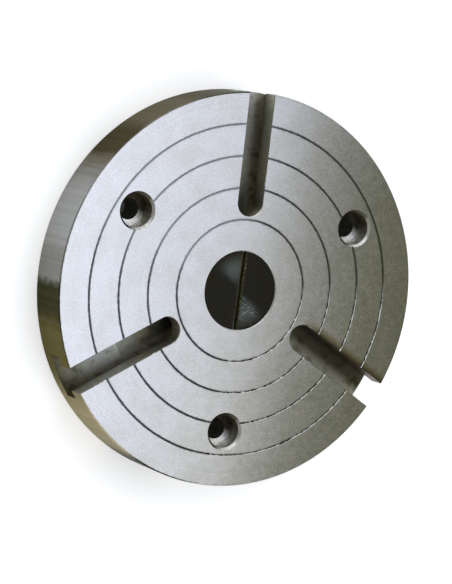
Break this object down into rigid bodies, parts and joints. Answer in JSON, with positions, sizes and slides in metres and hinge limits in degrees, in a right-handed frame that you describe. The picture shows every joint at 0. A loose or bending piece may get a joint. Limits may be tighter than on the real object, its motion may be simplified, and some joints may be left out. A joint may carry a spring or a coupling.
{
  "type": "chuck backplate",
  "caption": "Round machined backplate with T-slots open at the rim, fine ring lines, counterbored bolt holes and a dark plug in its centre.",
  "frame": {"origin": "centre of the back face, on the plate's axis", "axes": "+Z along the plate's axis, out of the working face; +Y along the first T-slot"},
  "size_m": [0.2, 0.2, 0.027],
  "materials": {
    "machined_steel": "fine turned and ground, bright",
    "blackened_steel": "turned and blackened with oil"
  },
  "bodies": {
    "root": {"backplate": "machined_steel", "centre_plug": "blackened_steel"}
  },
  "joints": []
}
